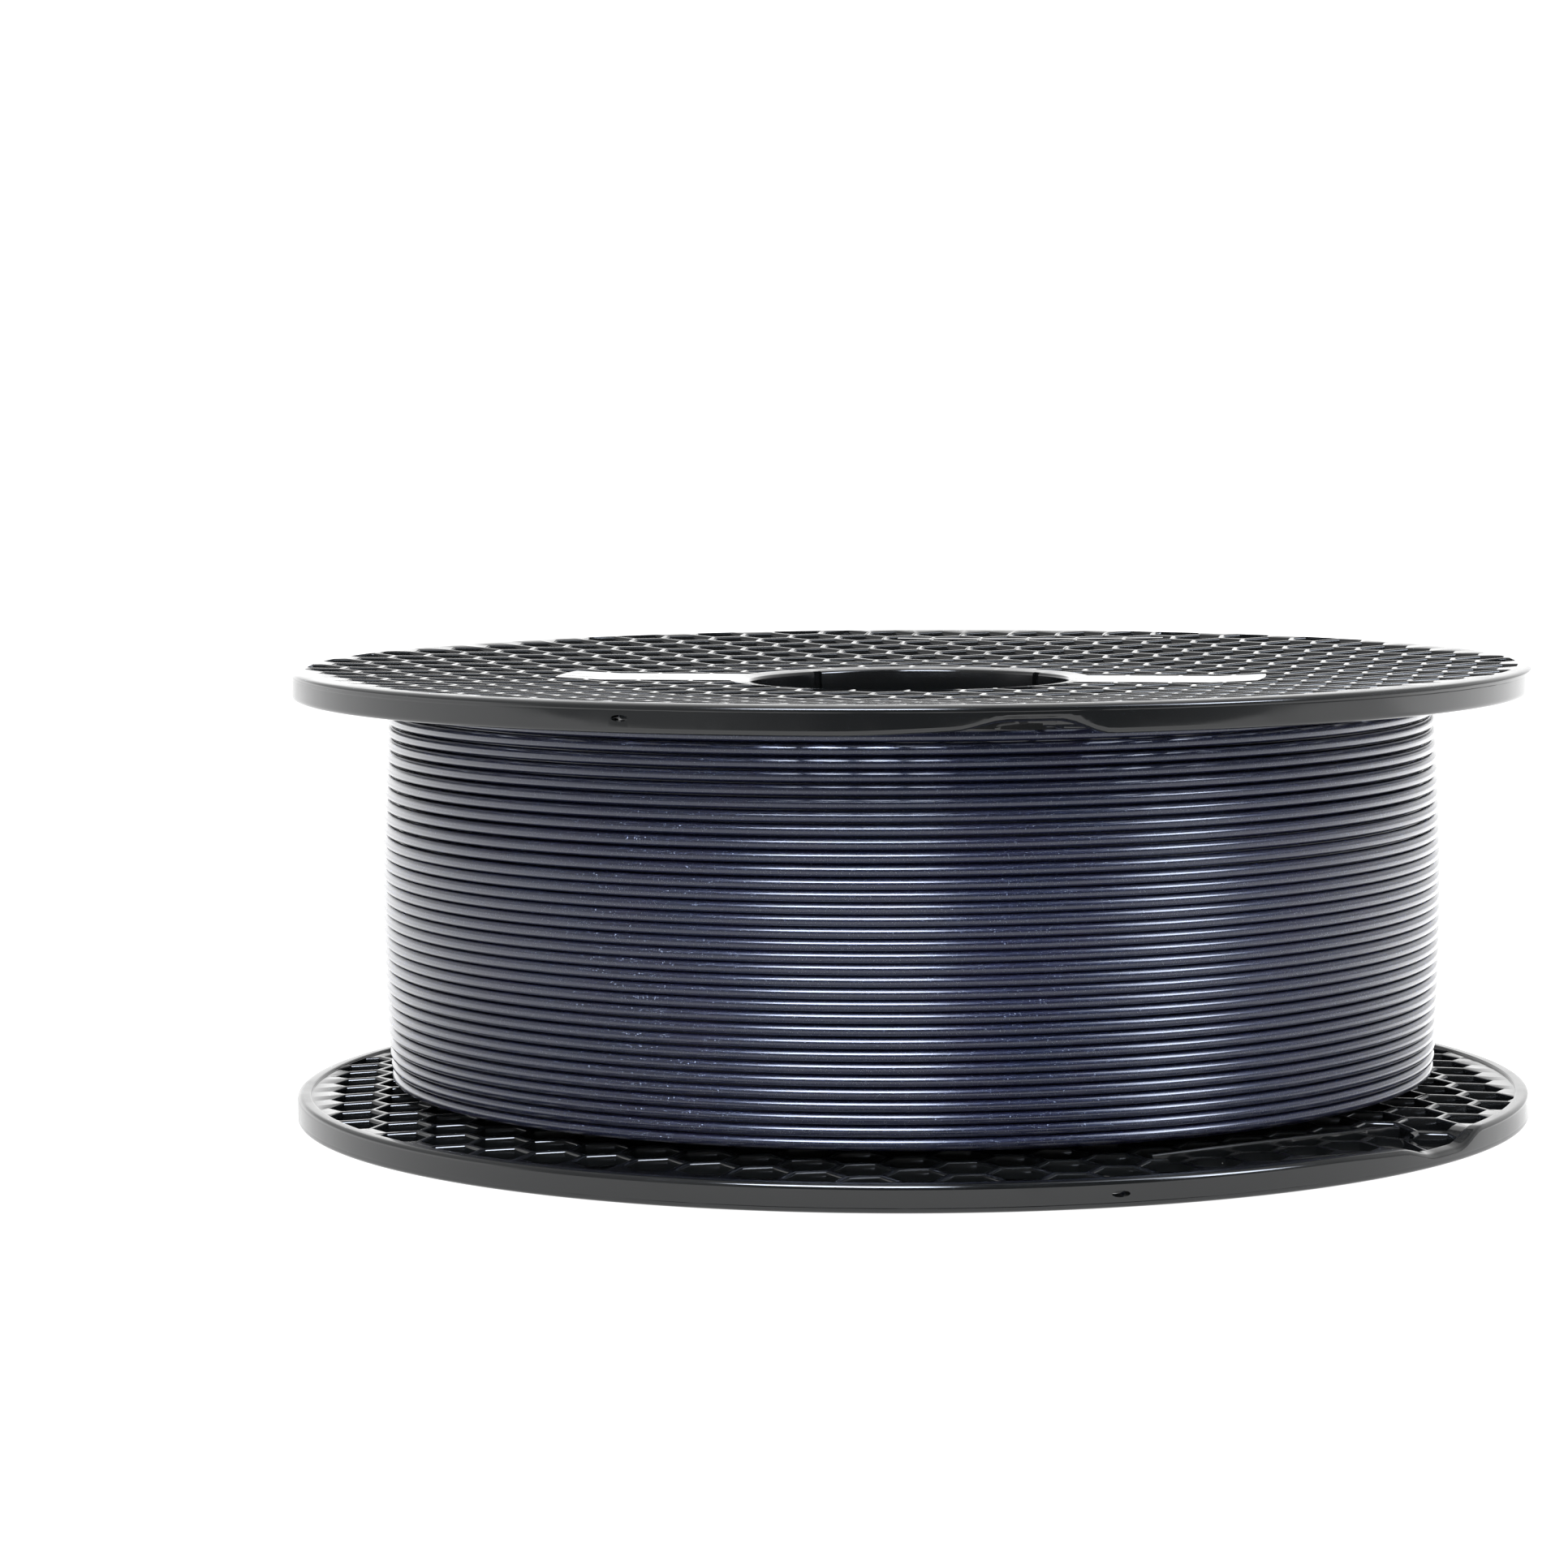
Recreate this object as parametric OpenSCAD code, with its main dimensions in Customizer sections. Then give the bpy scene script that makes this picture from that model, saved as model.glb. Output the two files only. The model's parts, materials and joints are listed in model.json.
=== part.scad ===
// Filament spool: two honeycomb flanges on a cardboard core, full of filament.
// It stands on its lower flange. +Z is the spool's axis, the origin is the centre of the base.

/* [Spool] */
// Outer diameter of the flanges
flange_d = 201; // [198:0.5:206]
// Width over the two rims
spool_w = 73.4; // [72:0.2:78]
// Diameter of the bore through the hubs
bore_d = 52; // [48:0.5:54]
// Turn of the upper flange about the axis, degrees
upper_turn = -10.4; // [-180:0.1:180]
// Turn of the lower flange about the axis, degrees
lower_turn = 33.6; // [-180:0.1:180]

/* [Flange] */
// Thickness of the honeycomb web
web_t = 4.1; // [3.4:0.1:5]
// Depth of the hub below the rim, on the outer face
dish = 2.5; // [1.5:0.1:3.5]
// How far the rim stands above the web, on the inner face
rim_rise = 0.4; // [0.2:0.1:1]
// Radial width of the rim
rim_w = 2.2; // [1.8:0.1:3.2]
// Rounding of the rim's outer edges
rim_round = 0.9; // [0.4:0.1:1.2]
// Depth of the parting groove round the rim, which lies just above the outer rounding
groove_depth = 0.2; // [0.1:0.05:0.4]
// Height of the parting groove
groove_h = 0.4; // [0.3:0.1:0.8]
// Wall of the bore collar
collar_t = 2.2; // [1.6:0.1:3]
// Length of the bore collar behind the web
collar_l = 6; // [3:0.5:10]
// Lead-in chamfer at the mouth of the bore
bore_lip = 0.6; // [0.3:0.1:1]
// Width of a key groove in the bore
key_w = 1.6; // [1:0.1:2.4]
// Depth of a key groove in the bore
key_depth = 0.6; // [0.3:0.1:1]
// Wall of the spigot that plugs into the core
spigot_t = 2; // [1.4:0.1:3]
// Length of the spigot
spigot_l = 8; // [6:1:20]

/* [Honeycomb] */
// Distance between the centres of two cells
cell_pitch = 8.7; // [8:0.1:12]
// Thickness of the walls between the cells
cell_wall = 1.2; // [1:0.1:2]
// Width of the plain panels on both sides of the hub
panel_w = 16; // [12:0.5:20]
// Radius at which the plain panels end
panel_r = 58; // [54:1:66]

/* [Rim details] */
// Angle of each finger scoop from the panels' line, degrees
scoop_angle = 70; // [60:0.1:76]
// Width of the flat bottom of a scoop
scoop_floor = 10; // [6:1:14]
// Length of the short ramp of a scoop
scoop_short_ramp = 6; // [5:1:12]
// Length of the long ramp of a scoop
scoop_long_ramp = 18; // [10:1:22]
// Depth of a scoop at the rim
scoop_depth = 2.2; // [1:0.1:3]
// Radial length of a scoop
scoop_l = 11; // [8:1:14]
// Distance of the filament channel's straight edge from the axis
channel_edge = 83.5; // [80:0.5:88]
// How far the channel runs back past the flange's middle
channel_run = 15; // [8:1:24]
// Angle of each filament hole from the panels' line, degrees
hole_angle = 106.7; // [100:0.1:112]
// Diameter of the filament hole through the rim
hole_d = 2.2; // [2:0.1:2.4]

/* [Core] */
// Outer diameter of the core tube
core_d = 100; // [90:1:104]
// Wall of the core tube
core_t = 3; // [2:0.5:5]
// Clearance between the core tube and what it touches
core_fit = 0.15; // [0.1:0.05:0.4]

/* [Filament] */
// Diameter of the filament
strand_d = 1.75; // [1.5:0.05:2]
// Diameter over the outer layer, at its middle
wound_d = 172.4; // [150:0.2:180]
// How much the radius of the outer layer drops towards the flanges
wound_drop = 1.2; // [0:0.1:2]
// Whole turns in the outer layer
whole_turns = 23; // [12:1:23]
// Clearance between the wound filament and the flanges
wind_gap = 0.3; // [0.2:0.1:1]

/* [Hidden] */
$fn = 96;
eps = 0.01;
// How far a cutting solid runs past what it cuts
over = 1;

flange_r = flange_d / 2;
web_r = flange_r - rim_w;
rim_h = web_t + rim_rise;
bore_r = bore_d / 2;
collar_r = bore_r + collar_t;
core_r = core_d / 2;
core_in_r = core_r - core_t;
spigot_r = core_in_r - core_fit;
// The hub stays flat a little further out than the core tube stands
hub_margin = 0.6;
hub_flat_r = core_r + hub_margin;
hub_top = dish + web_t;
scoop_steps = 4;
// The channel's floor lies this far below the web's inner face at the rim
channel_sink = 0.1;
channel_z = web_t - channel_sink;

// Height of the web's inner face above the outer rim plane, at radius r
function web_top(r) = web_t + dish * min(1, (web_r - r) / (web_r - hub_flat_r));

color_plastic = [0.05, 0.055, 0.06];
color_card = [0.62, 0.47, 0.32];
color_filament = [0.07, 0.08, 0.17];

// ---- Flange ----

// Cross-section of the solid flange: hub, dished web, rim, collar and spigot
module flange_profile() {
    polygon([
        [collar_r - eps, dish], [hub_flat_r, dish], [web_r, 0], [web_r + eps, 0],
        [web_r + eps, web_t], [web_r, web_t], [hub_flat_r, hub_top], [collar_r - eps, hub_top]
    ]);
    rim_profile();
    collar_profile();
    translate([spigot_r - spigot_t, hub_top - eps])
        square([spigot_t, spigot_l + eps]);
}

// Rim: rounded outer edges and a fine parting groove
module rim_profile() {
    difference() {
        union() {
            translate([web_r, 0])
                square([rim_w - rim_round, rim_h]);
            translate([web_r, rim_round])
                square([rim_w, rim_h - 2 * rim_round]);
            for (z = [rim_round, rim_h - rim_round])
                translate([flange_r - rim_round, z])
                    circle(rim_round);
        }
        translate([flange_r - groove_depth, rim_round])
            square([groove_depth + over, groove_h]);
    }
}

// Collar round the bore, with a lead-in at its mouth
module collar_profile() {
    polygon([
        [bore_r, dish + bore_lip], [bore_r + bore_lip, dish], [collar_r, dish],
        [collar_r, hub_top + collar_l], [bore_r, hub_top + collar_l]
    ]);
}

// Where the web is open: not at the collar, the rim or the two panels
module open_region() {
    difference() {
        circle(web_r);
        circle(collar_r + cell_wall);
        intersection() {
            square([2 * panel_r, panel_w], center = true);
            circle(panel_r);
        }
    }
}

// Honeycomb cells, in rows along the panels' line
module cells() {
    row_step = cell_pitch * sqrt(3) / 2;
    rows = ceil(web_r / row_step);
    columns = ceil(web_r / cell_pitch) + 1;
    for (j = [-rows : rows], i = [-columns : columns]) {
        x = (i + (j % 2 == 0 ? 0 : 0.5)) * cell_pitch;
        y = j * row_step;
        if (norm([x, y]) < web_r - cell_wall)
            translate([x, y])
                rotate(30)
                    circle(r = (cell_pitch - cell_wall) / sqrt(3), $fn = 6);
    }
}

// Finger scoop: a trough across the rim that runs out on the web, rising inwards
module scoop() {
    smooth = function (u) u * u * (3 - 2 * u);
    steps = [0 : 1 / scoop_steps : 1];
    short_ramp = [for (u = steps)
        [-scoop_floor / 2 - scoop_short_ramp * (1 - u), -scoop_depth * smooth(u)]];
    long_ramp = [for (u = steps)
        [scoop_floor / 2 + scoop_long_ramp * u, -scoop_depth * smooth(1 - u)]];
    headroom = rim_h;
    outset = 2 * over;
    rotate(-scoop_angle)
        translate([flange_r, 0, rim_h])
            rotate([0, atan(scoop_depth / scoop_l), 0])
                rotate([90, 0, -90])
                    translate([0, 0, -outset])
                        linear_extrude(scoop_l + 2 * outset)
                            polygon(concat(short_ramp, long_ramp, [
                                [scoop_floor / 2 + scoop_long_ramp, headroom],
                                [-scoop_floor / 2 - scoop_short_ramp, headroom]
                            ]));
}

// Channel that leads the filament from its hole to the scoop, with a straight inner edge
module channel() {
    scoop_x = flange_r * cos(scoop_angle);
    translate([0, 0, channel_z])
        linear_extrude(rim_h)
            intersection() {
                circle(web_r);
                translate([-channel_run, -flange_r])
                    square([channel_run + scoop_x, flange_r - channel_edge]);
            }
}

// Filament hole, radially through the rim
module filament_hole() {
    rotate(-hole_angle)
        translate([web_r - hole_d, 0, rim_h / 2])
            rotate([0, 90, 0])
                cylinder(d = hole_d, h = rim_w + 2 * hole_d);
}

// One flange with its outer face down, and the panels' line along X
module flange() {
    difference() {
        rotate_extrude()
            flange_profile();
        translate([0, 0, -over])
            linear_extrude(hub_top + 2 * over)
                intersection() {
                    open_region();
                    cells();
                }
        for (side = [0, 1])
            mirror([0, side, 0]) {
                scoop();
                channel();
                filament_hole();
            }
        for (k = [0 : 3])
            rotate(45 + 90 * k)
                translate([bore_r - over, -key_w / 2, 0])
                    cube([over + key_depth, key_w, hub_top + collar_l + over]);
    }
}

module lower_flange() {
    color(color_plastic)
        rotate(lower_turn)
            flange();
}

module upper_flange() {
    color(color_plastic)
        translate([0, 0, spool_w])
            rotate(upper_turn)
                rotate([180, 0, 0])
                    flange();
}

// ---- Core tube, between the two hubs ----

module core_tube() {
    color(color_card)
        translate([0, 0, hub_top + core_fit])
            difference() {
                cylinder(d = core_d, h = spool_w - 2 * (hub_top + core_fit));
                translate([0, 0, -over])
                    cylinder(r = core_in_r, h = spool_w);
            }
}

// ---- Wound filament ----

rings_per_turn = 24;
strand_sides = 6;
strand_r = strand_d / 2;
turn_r = wound_d / 2 - strand_r;
// The ends bend towards the flanges on this radius, then run straight for one diameter
end_bend = 1.2;
end_steps = 5;
// Clearance between the tips of the strand and the webs
end_gap = 0.05;
first_z = web_top(turn_r - strand_r) + end_bend + strand_d + end_gap;
// The ends stand on wall junctions of the honeycomb, 30 degrees off a panel
start_angle = lower_turn + 30;
stop_angle = upper_turn + 150;
sweep_angle = 360 * whole_turns + stop_angle - start_angle;
ring_count = ceil(sweep_angle * rings_per_turn / 360);

// How much the radius drops at height z: nothing in the middle, wound_drop at the flanges
function drop(z) = wound_drop * pow((2 * z - spool_w) / (spool_w - 2 * first_z), 2);

// A point of the helix, at u from 0 to 1 along the layer
function helix_z(u) = first_z + u * (spool_w - 2 * first_z);
function helix_angle(u) = start_angle + u * sweep_angle;
function helix_point(u) =
    let (r = turn_r - drop(helix_z(u)), a = helix_angle(u))
        [r * cos(a), r * sin(a), helix_z(u)];

// Points of an end: a quarter bend from the turn to the axial direction, then the straight run
function end_points(u, side) =
    let (p = helix_point(u), a = helix_angle(u), along = side * [-sin(a), cos(a), 0])
        concat(
            [for (k = [1 : end_steps])
                let (b = 90 * k / end_steps)
                    p + end_bend * (sin(b) * along + (1 - cos(b)) * [0, 0, side])],
            [p + end_bend * along + (end_bend + strand_d) * [0, 0, side]]
        );

function reversed(list) = [for (i = [len(list) - 1 : -1 : 0]) list[i]];

turn_points = [for (i = [0 : ring_count]) helix_point(i / ring_count)];
strand_points = concat(reversed(end_points(0, -1)), turn_points, end_points(1, 1));
strand_angles = concat(
    [for (i = [0 : end_steps]) helix_angle(0)],
    [for (i = [0 : ring_count]) helix_angle(i / ring_count)],
    [for (i = [0 : end_steps]) helix_angle(1)]
);

function unit(v) = v / norm(v);
function tangent(points, i) =
    unit(points[min(i + 1, len(points) - 1)] - points[max(i - 1, 0)]);

// Least gap between neighbouring turns, measured from point to point
turn_gaps = [for (i = [0 : ring_count - rings_per_turn / 2 - 1])
    for (j = [i + rings_per_turn / 2 : min(i + 2 * rings_per_turn, ring_count)])
        norm(turn_points[j] - turn_points[i]) - strand_d];
echo(least_gap_between_turns_mm = min(turn_gaps));

// Outer layer: one unbroken strand
module filament_turns() {
    count = len(strand_points);
    rings = [for (i = [0 : count - 1])
        let (
            out = [cos(strand_angles[i]), sin(strand_angles[i]), 0],
            up = unit(cross(tangent(strand_points, i), out))
        )
            for (k = [0 : strand_sides - 1])
                let (b = 360 * k / strand_sides)
                    strand_points[i] + strand_r * (cos(b) * out + sin(b) * up)];
    sides = [for (i = [0 : count - 2], k = [0 : strand_sides - 1])
        let (
            a = i * strand_sides + k,
            b = i * strand_sides + (k + 1) % strand_sides
        )
            each [[a, b, b + strand_sides], [a, b + strand_sides, a + strand_sides]]];
    last = (count - 1) * strand_sides;
    caps = [for (k = [1 : strand_sides - 2])
        each [[0, k + 1, k], [last, last + k, last + k + 1]]];
    color(color_filament)
        polyhedron(points = rings, faces = concat(sides, caps));
}

// Inner layers: they fill the space between the core and the outer layer
module filament_pack() {
    stations = 8;
    layer_gap = 0.1;
    inner_r = core_r + core_fit;
    outer_r = turn_r * cos(180 / rings_per_turn) - strand_r - layer_gap;
    edge_r = outer_r - wound_drop;
    low_z = web_top(edge_r) + wind_gap;
    side = [for (i = [0 : stations])
        let (z = low_z + (spool_w - 2 * low_z) * i / stations)
            [outer_r - wound_drop * pow(2 * i / stations - 1, 2), z]];
    color(color_filament)
        rotate_extrude()
            polygon(concat(
                [[inner_r, hub_top + wind_gap], [hub_flat_r, hub_top + wind_gap]],
                side,
                [
                    [hub_flat_r, spool_w - hub_top - wind_gap],
                    [inner_r, spool_w - hub_top - wind_gap]
                ]
            ));
}

lower_flange();
upper_flange();
core_tube();
filament_pack();
filament_turns();
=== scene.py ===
# %% [markdown]
# # A full spool of printing filament
# The spool is two black honeycomb flanges on a cardboard core, wound full with one strand of
# dark blue filament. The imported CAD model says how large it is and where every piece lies.
# This script dresses it: each piece gets the rounded edges, the turns and the finish that a
# camera would see, inside the same outline.

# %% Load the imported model
import json
import math
import bpy
from mathutils import Matrix, Vector


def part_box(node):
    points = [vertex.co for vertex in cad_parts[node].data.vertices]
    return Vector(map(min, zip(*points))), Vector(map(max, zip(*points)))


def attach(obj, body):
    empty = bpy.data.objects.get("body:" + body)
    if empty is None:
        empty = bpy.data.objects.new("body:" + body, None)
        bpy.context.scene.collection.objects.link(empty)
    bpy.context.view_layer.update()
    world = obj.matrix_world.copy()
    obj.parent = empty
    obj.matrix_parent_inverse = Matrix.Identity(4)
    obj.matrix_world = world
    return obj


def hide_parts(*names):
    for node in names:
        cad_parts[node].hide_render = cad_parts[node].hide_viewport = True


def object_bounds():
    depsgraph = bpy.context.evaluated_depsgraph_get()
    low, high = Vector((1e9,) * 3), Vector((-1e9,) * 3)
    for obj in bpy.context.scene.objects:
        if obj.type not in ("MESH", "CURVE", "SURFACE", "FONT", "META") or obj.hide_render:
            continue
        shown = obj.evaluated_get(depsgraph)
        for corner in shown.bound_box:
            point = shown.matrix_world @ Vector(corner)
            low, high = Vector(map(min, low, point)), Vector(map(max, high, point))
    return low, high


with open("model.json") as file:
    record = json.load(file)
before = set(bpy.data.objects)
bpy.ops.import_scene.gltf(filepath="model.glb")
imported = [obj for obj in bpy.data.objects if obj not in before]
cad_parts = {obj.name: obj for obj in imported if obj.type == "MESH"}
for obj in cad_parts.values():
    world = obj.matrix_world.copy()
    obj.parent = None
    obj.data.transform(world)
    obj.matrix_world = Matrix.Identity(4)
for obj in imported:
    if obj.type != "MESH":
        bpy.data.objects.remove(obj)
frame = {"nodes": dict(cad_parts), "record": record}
cad_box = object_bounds()
print("CAD nodes:", sorted(frame["nodes"]))

# %% [markdown]
# ## Sizes
# A spool is described by a few sizes, in millimetres on the maker's drawing. Blender works in
# metres, so MM turns one into the other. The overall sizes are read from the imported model, so
# that the dressed pieces can't drift away from it.

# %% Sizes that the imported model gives
MM = 0.001
flange_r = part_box("lower_flange")[1].x
spool_w = cad_box[1].z
bore = next(m for m in frame["record"]["mounts"] if m["name"] == "hub_bore")
bore_r = bore["dims"]["r_mm"] * MM
core_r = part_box("core_tube")[1].x
print(f"flange radius {flange_r:.4f}, width {spool_w:.4f}")
print(f"bore radius {bore_r:.4f}, core radius {core_r:.4f}")

# %% Sizes of the flange
web_t = 4.1 * MM
dish = 2.5 * MM
rim_w = 2.2 * MM
rim_h = 4.5 * MM
collar_r = bore_r + 2.2 * MM
hub_flat_r = core_r + 0.6 * MM
hub_top = dish + web_t
web_r = flange_r - rim_w
cell_pitch = 8.7 * MM
cell_wall = 1.2 * MM
panel_w = 16 * MM
panel_r = 58 * MM
upper_turn = math.radians(-10.4)
lower_turn = math.radians(33.6)

# %% Sizes of the winding
strand_r = 1.75 * MM / 2
turn_r = 172.4 * MM / 2 - strand_r
layer_step = 1.52 * MM
wound_drop = 1.3 * MM


def web_top(r):
    """Height of the flange's inner face above the outer rim plane, at radius r."""
    return web_t + dish * min(1, (web_r - r) / (web_r - hub_flat_r))


# %% [markdown]
# ## The camera
# A spool is best seen through a long lens from a little above the table, so that the top flange
# is a thin ellipse. A long lens also keeps the far rim nearly as large as the near one. The
# camera is placed by its distance, height and tilt.

# %% Camera
camera_at = Vector((-20.6, -774.9, 121.0)) * MM
camera_pitch = math.radians(4.97)
camera_roll = math.radians(-0.401)

camera_data = bpy.data.cameras.new("camera")
camera_data.lens = 109.08
camera_data.sensor_width = 36
camera = bpy.data.objects.new("camera", camera_data)
bpy.context.scene.collection.objects.link(camera)
aim = Matrix.Rotation(math.pi / 2 - camera_pitch, 4, "X") @ Matrix.Rotation(camera_roll, 4, "Z")
camera.matrix_world = Matrix.Translation(camera_at) @ aim
bpy.context.scene.camera = camera
print("camera at", tuple(round(c, 4) for c in camera.location))

# %% [markdown]
# ## Nodes written as expressions
# Both finishes and shapes are made of nodes here. Wiring them by hand is slow to read, so one
# small class wraps an output socket and lets Python's operators add the Math nodes. Every other
# node comes from one method that takes its type, its settings and what goes into its sockets.


# %% One output of a node, which can be calculated with
class Link:
    """An output socket. Arithmetic on it adds the Math nodes that work the result out."""

    def __init__(self, graph, socket):
        self.graph = graph
        self.socket = socket

    def other(self, name):
        """Another output of the same node."""
        return Link(self.graph, self.socket.node.outputs[name])

    def __add__(self, value):
        return self.graph.maths("ADD", self, value)

    def __radd__(self, value):
        return self.graph.maths("ADD", value, self)

    def __sub__(self, value):
        return self.graph.maths("SUBTRACT", self, value)

    def __rsub__(self, value):
        return self.graph.maths("SUBTRACT", value, self)

    def __mul__(self, value):
        return self.graph.maths("MULTIPLY", self, value)

    def __rmul__(self, value):
        return self.graph.maths("MULTIPLY", value, self)

    def __truediv__(self, value):
        return self.graph.maths("DIVIDE", self, value)


# %% A node tree that grows by method calls
class Graph:
    """A node tree for a finish or a shape."""

    def __init__(self, tree):
        self.tree = tree
        tree.nodes.clear()

    def node(self, kind, settings=None, values=None, output=0):
        """Adds a node, sets it up, feeds its sockets and returns one of its outputs."""
        made = self.tree.nodes.new(kind)
        for name, setting in (settings or {}).items():
            if name == "stops":
                self.place_stops(made.color_ramp, setting)
            else:
                setattr(made, name, setting)
        for name, value in (values or {}).items():
            self.feed(made.inputs[name], value)
        return Link(self, made.outputs[output])

    def place_stops(self, ramp, stops):
        """Gives a colour ramp its stops, as pairs of a position and a colour."""
        while len(ramp.elements) < len(stops):
            ramp.elements.new(1)
        for element, (position, colour) in zip(ramp.elements, stops):
            element.position = position
            element.color = colour

    def feed(self, socket, value):
        """Links a socket to one output or several, or sets its own value."""
        several = value if isinstance(value, list) else [value]
        for part in several:
            if isinstance(part, Link):
                self.tree.links.new(part.socket, socket)
            else:
                socket.default_value = part

    def maths(self, operation, *values):
        """A Math node on one to three values."""
        return self.node("ShaderNodeMath", {"operation": operation}, dict(enumerate(values)))

    def clamp(self, value):
        """value, held between 0 and 1."""
        return self.maths("MINIMUM", self.maths("MAXIMUM", value, 0.0), 1.0)

    def ramp(self, value, start, end, kind="SMOOTHSTEP"):
        """Rises from 0 to 1 as value goes from start to end."""
        return self.node(
            "ShaderNodeMapRange",
            {"interpolation_type": kind},
            {"Value": value, "From Min": start, "From Max": end},
        )

    def vector(self, operation, first, second=None, factor=None):
        """A Vector Math node on one or two vectors, or on a vector and a factor."""
        values = {0: first}
        if second is not None:
            values[1] = second
        if factor is not None:
            values["Scale"] = factor
        return self.node("ShaderNodeVectorMath", {"operation": operation}, values)

    def split(self, vector):
        """The three parts of a vector."""
        x = self.node("ShaderNodeSeparateXYZ", {}, {0: vector})
        return x, x.other("Y"), x.other("Z")

    def join(self, x, y, z):
        """A vector from three parts."""
        return self.node("ShaderNodeCombineXYZ", {}, {"X": x, "Y": y, "Z": z})


# %% A tree that makes a shape
class Shape(Graph):
    """Geometry nodes whose named inputs are the sizes of the piece."""

    sockets = {
        int: "NodeSocketInt",
        float: "NodeSocketFloat",
        bpy.types.Object: "NodeSocketObject",
        bpy.types.Material: "NodeSocketMaterial",
    }

    def __init__(self, name, **sizes):
        super().__init__(bpy.data.node_groups.new(name, "GeometryNodeTree"))
        self.sizes = sizes
        panel = self.tree.interface
        panel.new_socket("Geometry", in_out="OUTPUT", socket_type="NodeSocketGeometry")
        self.keys = {}
        for label, value in sizes.items():
            kind = self.sockets[type(value)]
            socket = panel.new_socket(label, in_out="INPUT", socket_type=kind)
            self.keys[label] = socket.identifier
        self.entry = self.tree.nodes.new("NodeGroupInput")

    def size(self, label):
        """One of the named inputs."""
        return Link(self, self.entry.outputs[label])

    def solid(self, label):
        """The mesh of an object that is one of the named inputs."""
        return self.node("GeometryNodeObjectInfo", {}, {"Object": self.size(label)}, "Geometry")

    def move(self, geometry, offset=None, position=None):
        """Moves every point by an offset, or to a position."""
        values = {"Geometry": geometry}
        if offset is not None:
            values["Offset"] = offset
        if position is not None:
            values["Position"] = position
        return self.node("GeometryNodeSetPosition", {}, values)

    def boolean(self, operation, first, others):
        """Cuts closed solids with each other."""
        settings = {"operation": operation, "solver": "MANIFOLD"}
        if operation == "DIFFERENCE":
            solids = {"Mesh 1": first, "Mesh 2": others}
        else:
            solids = {"Mesh 2": [first] + others}
        return self.node("GeometryNodeMeshBoolean", settings, solids)

    def end(self, geometry):
        """Ends the tree: everything is made real and gets its finish."""
        real = self.node("GeometryNodeRealizeInstances", {}, {"Geometry": geometry})
        values = {"Geometry": real, "Material": self.size("Finish")}
        done = self.node("GeometryNodeSetMaterial", {}, values)
        self.feed(self.tree.nodes.new("NodeGroupOutput").inputs["Geometry"], done)

    def make(self, name, **changes):
        """Runs the tree once, with some sizes changed, and returns a plain mesh object."""
        piece = new_piece(name, bpy.data.meshes.new(name))
        modifier = piece.modifiers.new("Shape", "NODES")
        modifier.node_group = self.tree
        for label, value in {**self.sizes, **changes}.items():
            modifier[self.keys[label]] = value
        depsgraph = bpy.context.evaluated_depsgraph_get()
        mesh = bpy.data.meshes.new_from_object(piece.evaluated_get(depsgraph), depsgraph=depsgraph)
        piece.modifiers.clear()
        piece.data = mesh
        mesh.name = name
        print(f"{name}: {len(mesh.polygons)} faces")
        return piece


# %% Helpers for plain meshes
def new_piece(name, mesh):
    """An object of that name in the scene, at the origin."""
    piece = bpy.data.objects.new(name, mesh)
    bpy.context.scene.collection.objects.link(piece)
    return piece


def shade(piece, sharp_angle):
    """Smooth shading that breaks at edges sharper than an angle, in degrees."""
    piece.data.shade_smooth()
    piece.data.set_sharp_from_angle(angle=math.radians(sharp_angle))


def count_triangles(piece):
    """How many triangles the piece has."""
    piece.data.calc_loop_triangles()
    return len(piece.data.loop_triangles)


# %% [markdown]
# ## Round parts
# Rims, hubs and collars are round, so each is an outline spun about the spool's axis. The outline
# is a closed loop of corners, and each corner has its own rounding. A moulded part has no sharp
# corners: it is the small roundings that catch the light.


# %% Rounded outlines
CORNER_STEPS = 6


def rounded(corners):
    """Points of a closed outline whose corners (r, z, rounding) become smooth bends.

    A rounding that is a pair reaches further along one side of the corner than along the other.
    """
    points = []
    for i, (r, z, rounding) in enumerate(corners):
        corner = Vector((r, z))
        before = Vector(corners[i - 1][:2])
        after = Vector(corners[(i + 1) % len(corners)][:2])
        if rounding == 0:
            points.append(corner)
            continue
        first, second = rounding if isinstance(rounding, tuple) else (rounding, rounding)
        start = corner + (before - corner).normalized() * first
        end = corner + (after - corner).normalized() * second
        for k in range(CORNER_STEPS + 1):
            t = k / CORNER_STEPS
            points.append((1 - t) ** 2 * start + 2 * t * (1 - t) * corner + t ** 2 * end)
    return points


# %% Spinning an outline
def spin(name, outline, steps):
    """A closed solid: an outline that runs anticlockwise in (r, z), spun about the axis."""
    count = len(outline)
    vertices = []
    for k in range(steps):
        angle = 2 * math.pi * k / steps
        vertices += [(p[0] * math.cos(angle), p[0] * math.sin(angle), p[1]) for p in outline]
    faces = []
    for k in range(steps):
        here = k * count
        there = (k + 1) % steps * count
        for i in range(count):
            j = (i + 1) % count
            faces.append((here + i, there + i, there + j, here + j))
    mesh = bpy.data.meshes.new(name)
    mesh.from_pydata(vertices, [], faces)
    return mesh


# %% Straight cuts
def prism(name, outline, low, high, lean=0):
    """A closed solid: an outline that runs anticlockwise in (x, y), from one height to another.

    With a lean, its top is shifted that far along y.
    """
    count = len(outline)
    vertices = [(x, y, low) for x, y in outline] + [(x, y + lean, high) for x, y in outline]
    sides = [(i, (i + 1) % count, (i + 1) % count + count, i + count) for i in range(count)]
    bottom = tuple(range(count - 1, -1, -1))
    top = tuple(range(count, 2 * count))
    mesh = bpy.data.meshes.new(name)
    mesh.from_pydata(vertices, [], sides + [bottom, top])
    return mesh


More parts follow.
